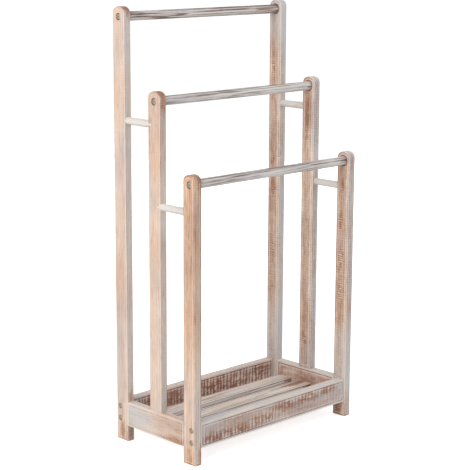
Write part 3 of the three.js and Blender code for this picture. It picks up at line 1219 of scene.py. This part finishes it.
# %% Posts on the right, darker inside
INNER_LOOK = {
    "light": colour(206, 158, 130),
    "dark": colour(142, 94, 70),
    "cover": 0.42,
    "patches": 0.45,
    "flecks": 0.30,
    "rim": -0.10,
    "groove": 0.50,
    "margin": 0.42,
    "saw": 0.16,
    "lean": -0.22,
    "sides": (0.0, -0.02, 0.1, 0.3, 0.45, -0.3),
    "grey": (0.0, 0.85, 0.5, 0.5, 0.0, 0.0),
    "end_grain": 0.3,
    "honey": 0.15,
}
RIGHT_POST_LOOKS = {
    "rear_right_post": {
        "seed": 6.7,
        "cover": 0.70,
        "sides": (0.0, 0.12, 0.1, 0.3, 0.2, -0.3),
        "grey": (0.0, 0.9, 0.5, 0.5, 0.3, 0.0),
        "bare": ((0.40, 0.34, 0.26), (-0.18, -0.28, -0.30)),
        "cool": ((0.30, 0.38, 0.8), (-0.20, -0.28, 0.7)),
        "spots": (
            ((-1, 0.2, 0.76), 5 * MM, 0.0),
            ((-1, 0.2, 0.68), 5 * MM, 0.0),
            ((-1, 0.1, 0.58), 5 * MM, 0.0),
            ((-1, 0.2, 0.22), 8 * MM, 0.1),
            ((-1, 0.1, 0.08), 7 * MM, 0.1),
            ((-1, 0.1, -0.25), 7 * MM, 0.1),
        ),
    },
    "middle_right_post": {
        "seed": 8.2,
        "spots": (
            ((-1, 0.2, 0.80), 5 * MM, 0.1),
            ((-1, 0.1, 0.70), 6 * MM, 0.15),
            ((-1, 0.2, 0.60), 5 * MM, 0.1),
            ((-1, 0.1, 0.38), 5 * MM, 0.0),
            ((-1, 0.1, -0.80), 8 * MM, 0.1),
        ),
    },
    "front_right_post": {
        "seed": 9.6,
        "bare": ((0.22, 0.10, 0.16), (-0.05, -0.13, -0.45), (-0.22, -0.26, 0.40)),
        "cool": ((-0.06, -0.13, 0.6), (-0.22, -0.26, -0.6)),
        "spots": (
            ((-1, 0.1, 0.74), 5 * MM, 0.3),
            ((-1, 0.3, 0.48), 7 * MM, 0.2),
            ((-1, 0.2, 0.22), 8 * MM, 0.2),
            ((-1, 0.2, -0.06), 8 * MM, 0.2),
            ((-1, 0.1, -0.95), 10 * MM, 0.5),
        ),
    },
}
for node, look in RIGHT_POST_LOOKS.items():
    whitewash(posts[node], node, "Z", INNER_LOOK, look)

# %% Rails, smooth as all round bars are
SMOOTH_LOOK = {
    "saw": 0.0,
    "rim": 0.0,
    "groove": 0.0,
    "margin": 0.0,
    "end_grain": 0.0,
}
RAIL_LOOK = {
    **SMOOTH_LOOK,
    "wash": colour(236, 230, 226),
    "shade": colour(204, 200, 200),
    "light": colour(172, 146, 134),
    "dark": UMBER,
    "cover": 0.79,
    "patches": 0.30,
    "streaks": 0.50,
    "streak_scale": 420,
    "streak_run": 4,
    "rings": 0.0,
    "flecks": 0.1,
    "lines": 0.40,
    "line_scale": 250,
    "line_width": 0.07,
    "crisp": 0.5,
    "sides": (0.0, 0.08, 0.0, 0.0, -0.16, -0.1),
    "grey": (0.0, 0.1, 0.0, 0.1, 0.2, 0.0),
    # Both spots are painted shade at the rail's ends, where it enters the posts.
    "spots": (((-0.97, -0.5, 0.3), 4 * MM, 0.2), ((0.97, -0.5, 0.0), 7 * MM, 0.2)),
}
RAIL_CHANGES = {
    "front_rail": {"seed": 20.0},
    "middle_rail": {"seed": 23.7},
    "rear_rail": {
        "seed": 27.4,
        "cover": 0.74,
        "streaks": 0.55,
        "lines": 0.55,
        "bare": ((0.06, 0.18, 0.24),),
    },
}
for node, changes in RAIL_CHANGES.items():
    whitewash(bars[node], node, "X", RAIL_LOOK, changes)

# %% Spacers
SPACER_LOOK = {
    **SMOOTH_LOOK,
    "wash": colour(226, 220, 213),
    "cover": 1.0,
    "flecks": 0.05,
    # Less and greyer paint underneath is painted shade.
    "sides": (0.0, 0.0, 0.0, 0.0, 0.0, -0.2),
    "grey": (0.0, 0.0, 0.0, 0.0, 0.0, 0.3),
}
SPACER_SEEDS = (31.0, 33.3, 35.6, 37.9)
for node, seed in zip(SPACER_NODES, SPACER_SEEDS):
    whitewash(bars[node], node, "Y", SPACER_LOOK, {"seed": seed})

# %% Boards
BOARD_LOOK = {
    "wash": colour(232, 220, 210),
    "light": RUST,
    "dark": REDWOOD,
    "cover": 0.46,
    "patches": 0.6,
    "streaks": 0.1,
    "lines": 0.0,
    "rings": 0.05,
    "rim": 0.45,
    "groove": 0.65,
    "margin": 0.30,
    "inset": 2.5 * MM,
    "pitch": 10 * MM,
    "sides": (0.0, 0.0, 0.0, 0.0, 0.4, 0.0),
    "grey": (0.0, 0.3, 0.0, 0.3, 0.3, 0.0),
    "end_grain": 0.0,
}
FRONT_BOARD_CHANGES = {
    "seed": 41.0,
    "cover": 0.56,
    "patches": 0.38,
    "crisp": 0.1,
    "saw": 0.12,
    "lean": 0.06,
    "honey": 0.1,
    "cool": ((-0.13, -0.19, 0.4),),
    "spots": (
        ((-0.84, -1, -0.55), 16 * MM, 0.2),
        ((-0.52, -1, -0.45), 17 * MM, 0.1),
        ((-0.20, -1, -0.20), 17 * MM, 0.1),
        ((0.10, -1, 0.30), 17 * MM, 0.1),
        ((0.42, -1, 0.45), 16 * MM, 0.1),
        ((0.74, -1, 0.55), 14 * MM, 0.1),
    ),
}
REAR_BOARD_CHANGES = {
    "seed": 44.0,
    "wash": colour(240, 218, 206),
    "light": colour(190, 124, 98),
    "dark": colour(108, 66, 54),
    "cover": 0.36,
    "patches": 0.7,
    "crisp": 0.3,
    "saw": 0.50,
    "sides": (0.0, 0.0, 0.0, 0.0, 0.6, -0.3),
    "grey": (0.0, 0.0, 0.0, 0.0, 0.3, 0.0),
}
LEFT_BOARD_LOOK = {
    "seed": 47.0,
    "cover": 0.80,
    "patches": 0.4,
    "saw": 0.1,
    "rim": 0.2,
    "groove": 0.25,
    "inset": 2.5 * MM,
    "sides": (0.0, 0.0, -0.3, 0.0, -0.05, -0.5),
    "grey": (0.2, 0.3, 0.3, 0.3, 0.2, 0.0),
    "end_grain": 0.0,
    "bare": ((0.05, -0.07, 0.28),),
    "cool": ((-0.02, 0.06, 0.6),),
    "spots": (((-1, -0.80, -0.7), 12 * MM, 0.0),),
}
RIGHT_BOARD_CHANGES = {
    "seed": 51.0,
    "light": colour(200, 134, 108),
    "cover": 0.40,
    "patches": 0.85,
    "crisp": 0.3,
    "saw": 0.1,
    "grey": (0.0, 0.0, 0.0, 0.0, 0.3, 0.0),
}
whitewash(boards["front_apron"], "front_apron", "X", BOARD_LOOK, FRONT_BOARD_CHANGES)
whitewash(boards["rear_apron"], "rear_apron", "X", BOARD_LOOK, REAR_BOARD_CHANGES)
whitewash(boards["left_apron"], "left_apron", "Y", LEFT_BOARD_LOOK)
whitewash(boards["right_apron"], "right_apron", "Y", BOARD_LOOK, RIGHT_BOARD_CHANGES)

# %% Slats
SLAT_LOOK = {
    "wash": colour(238, 226, 212),
    # Painted light: the slats' front faces lie in shade in the gaps, so the greyer paint used on
    # the fronts is set near white and cool to make them read pale.
    "shade": colour(234, 232, 236),
    "light": colour(212, 166, 132),
    "dark": colour(136, 98, 78),
    "cover": 0.80,
    "patches": 0.25,
    "streaks": 0.5,
    "streak_scale": 130,
    "streak_run": 2.5,
    "lines": 0.3,
    "line_scale": 90,
    "line_width": 0.06,
    "crisp": 0.4,
    "saw": 0.0,
    "rim": 0.25,
    "groove": 0.6,
    "margin": 0.1,
    # The front's extra paint and grey are part of the same painted light on the shaded front faces.
    "sides": (0.0, 0.15, 0.0, 0.1, 0.0, 0.0),
    "grey": (0.0, 0.6, 0.0, 0.3, 0.1, 0.0),
    "end_grain": 0.0,
}
SLAT_CHANGES = {
    "shelf_slat_1": {"seed": 60.0},
    "shelf_slat_2": {
        "seed": 64.1,
        # The second spot, at the right end of the front face, is painted shadow at the end of the
        # gap between slats.
        "spots": (((0.84, 0.0, 1), 15 * MM, 0.0), ((0.93, -1, 0.0), 6 * MM, 0.7)),
    },
    # The spot at the right end of the front face is painted shadow at the end of the gap between
    # slats.
    "shelf_slat_3": {"seed": 68.2, "spots": (((0.93, -1, 0.0), 9 * MM, 1.0),)},
}
for node, changes in SLAT_CHANGES.items():
    whitewash(boards[node], node, "X", SLAT_LOOK, changes)
print("washed materials:", len([m for m in bpy.data.materials if m.name.startswith("wash_")]))

# %% [markdown]
# ## Zinc and bare beech
#
# The screws are zinc-plated steel that has dulled to a greenish grey. A cloudy
# noise makes it brighter and smoother in some places, and a very fine one gives
# the plating its grit. The dowels never show, but a part should be whole inside
# too, so they keep their CAD shape and get plain beech.

# %% Zinc-plated steel
BRIGHT_ZINC = colour(186, 179, 163)
DULL_ZINC = colour(136, 127, 112)
GRIT_HEIGHT = 0.05 * MM


def zinc():
    """Dulled zinc for the screws."""
    material, tree, shader = new_finish("dulled_zinc")
    place = add_node(tree, "ShaderNodeTexCoord").outputs["Object"]
    cloud = noise(tree, place, scale=260, seed=1.0, detail=4, rough=0.6)
    grit = noise(tree, place, scale=2200, seed=2.0)
    feed_all(tree, shader, {
        "Base Color": blend_colours(tree, cloud, DULL_ZINC, BRIGHT_ZINC),
        "Metallic": 0.45,
        "Roughness": fade(tree, cloud, 0.3, 0.7, low=0.42, high=0.58),
    })
    roughen(tree, shader, grit, strength=0.3, distance=GRIT_HEIGHT)
    return material


zinc_finish = zinc()
for piece in screws.values():
    dress(piece, zinc_finish)

# %% Beech for the hidden dowels
PALE_BEECH = colour(222, 190, 150)
WARM_BEECH = colour(196, 156, 116)
FLECK_HEIGHT = 0.1 * MM


def beech():
    """Bare beech with small flecks for the dowels."""
    material, tree, shader = new_finish("bare_beech")
    place = add_node(tree, "ShaderNodeTexCoord").outputs["Object"]
    fleck = noise(tree, place, scale=900, seed=3.0, detail=3)
    feed_all(tree, shader, {
        "Base Color": blend_colours(tree, fleck, PALE_BEECH, WARM_BEECH),
        "Roughness": fade(tree, fleck, 0.3, 0.7, low=0.55, high=0.7),
    })
    roughen(tree, shader, fleck, strength=0.2, distance=FLECK_HEIGHT)
    return material


beech_finish = beech()
dowels = [dowel for name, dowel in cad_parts.items() if "dowel" in name]
for dowel in dowels:
    dress(dowel, beech_finish)
print("screws in zinc:", len(screws), "and dowels in beech:", len(dowels))

# %% [markdown]
# ## Floor and light
#
# The photograph is a product picture on plain white. The floor is a pale plane
# with a soft shadow, and a little glow that only the camera sees, directly or in
# a reflection, lifts it to white without putting more light on the wood. The
# world does the same for the space above the floor.

# %% Floor
FLOOR_SIZE = 60.0
FLOOR_GLOW = 0.62
PURE_WHITE = (1, 1, 1, 1)


def seen_directly(tree):
    """1 where the camera looks, also by way of metal or glass, and 0 for all other light."""
    path = add_node(tree, "ShaderNodeLightPath")
    seen = sum_of(tree, "MAXIMUM", path.outputs["Is Camera Ray"], path.outputs["Is Glossy Ray"])
    return sum_of(tree, "MAXIMUM", seen, path.outputs["Is Transmission Ray"])


def pale_floor():
    """Pale and matt, with a glow for the camera alone."""
    material, tree, shader = new_finish("pale_floor")
    feed_all(tree, shader, {
        "Base Color": colour(240, 240, 240),
        "Roughness": 0.9,
        "Specular IOR Level": 0.0,
        "Emission Color": PURE_WHITE,
        "Emission Strength": sum_of(tree, "MULTIPLY", seen_directly(tree), FLOOR_GLOW),
    })
    return material


floor_shape = bmesh.new()
bmesh.ops.create_grid(floor_shape, x_segments=1, y_segments=1, size=FLOOR_SIZE / 2)
floor_mesh = bpy.data.meshes.new("floor")
floor_shape.to_mesh(floor_mesh)
floor_shape.free()
floor = bpy.data.objects.new("floor", floor_mesh)
bpy.context.scene.collection.objects.link(floor)
dress(floor, pale_floor())

# %% World
ROOM_TINT = (0.95, 0.98, 1.0, 1)
ROOM_STRENGTH = 0.5

world = bpy.data.worlds.new("white_studio")
bpy.context.scene.world = world
world.use_nodes = True
tree = world.node_tree
room = tree.nodes["Background"]
feed_all(tree, room, {"Color": ROOM_TINT, "Strength": ROOM_STRENGTH})
white = add_node(tree, "ShaderNodeBackground")
feed_all(tree, white, {"Color": PURE_WHITE, "Strength": 1.0})
choice = add_node(tree, "ShaderNodeMixShader")
feed(tree, choice.inputs[0], seen_directly(tree))
feed(tree, choice.inputs[1], room.outputs[0])
feed(tree, choice.inputs[2], white.outputs[0])
feed(tree, tree.nodes["World Output"].inputs["Surface"], choice.outputs[0])

# %% [markdown]
# ## Three softboxes
#
# In the photograph the left sides are the brightest and the shadows are soft. So
# the main light is a large lamp on the left, and a weaker one from above and the
# front keeps the front faces readable. A third, behind the stand on the right,
# lights the sides that the photograph doesn't show, so that they aren't dull.

# %% Lamps
AIM = Vector((0, 0, 0.45))


def softbox(name, away, distance, size, watts, tint):
    """A square area lamp that faces the middle of the stand."""
    lamp = bpy.data.lights.new(name, "AREA")
    lamp.shape = "SQUARE"
    lamp.size = size
    lamp.energy = watts
    lamp.color = tint
    holder = bpy.data.objects.new(name, lamp)
    direction = Vector(away).normalized()
    holder.location = AIM + direction * distance
    holder.rotation_mode = "QUATERNION"
    holder.rotation_quaternion = direction.to_track_quat("Z", "Y")
    bpy.context.scene.collection.objects.link(holder)


softbox("key_from_the_left", away=(-0.88, -0.24, 0.42), distance=3.2, size=2.2, watts=61,
        tint=(1.0, 0.98, 0.96))
softbox("fill_from_above", away=(0.35, -0.45, 0.82), distance=3.4, size=3.0, watts=28,
        tint=(0.97, 0.99, 1.0))
softbox("fill_from_behind", away=(0.80, 0.75, 0.35), distance=3.4, size=3.0, watts=22,
        tint=(1.0, 0.99, 0.97))

# %% [markdown]
# ## Camera
#
# The photograph's straight edges give the camera: where it stands, how it is
# turned and how long its lens is. The picture was straightened after it was
# taken, so the camera here is the plain one without lens shift that comes
# nearest to it.

# %% Camera from the photograph's edges
EYE = Vector((-2.1261, -2.1567, 1.0560))
YAW = math.radians(45.498)
PITCH = math.radians(-11.840)
ROLL = math.radians(0.299)
LENS = 112.81
SENSOR = 36.0

forward = Vector((
    math.cos(YAW) * math.cos(PITCH),
    math.sin(YAW) * math.cos(PITCH),
    math.sin(PITCH),
))
level_right = Vector((math.sin(YAW), -math.cos(YAW), 0))
level_up = level_right.cross(forward)
right = math.cos(ROLL) * level_right + math.sin(ROLL) * level_up
up = -math.sin(ROLL) * level_right + math.cos(ROLL) * level_up
camera_data = bpy.data.cameras.new("camera")
camera_data.lens = LENS
camera_data.sensor_width = SENSOR
camera_data.clip_start = 0.1
camera_data.clip_end = 100
camera = bpy.data.objects.new("camera", camera_data)
camera.matrix_world = Matrix((
    (right.x, up.x, -forward.x, EYE.x),
    (right.y, up.y, -forward.y, EYE.y),
    (right.z, up.z, -forward.z, EYE.z),
    (0, 0, 0, 1),
))
bpy.context.scene.collection.objects.link(camera)
bpy.context.scene.camera = camera
bpy.context.scene.view_settings.view_transform = "Standard"
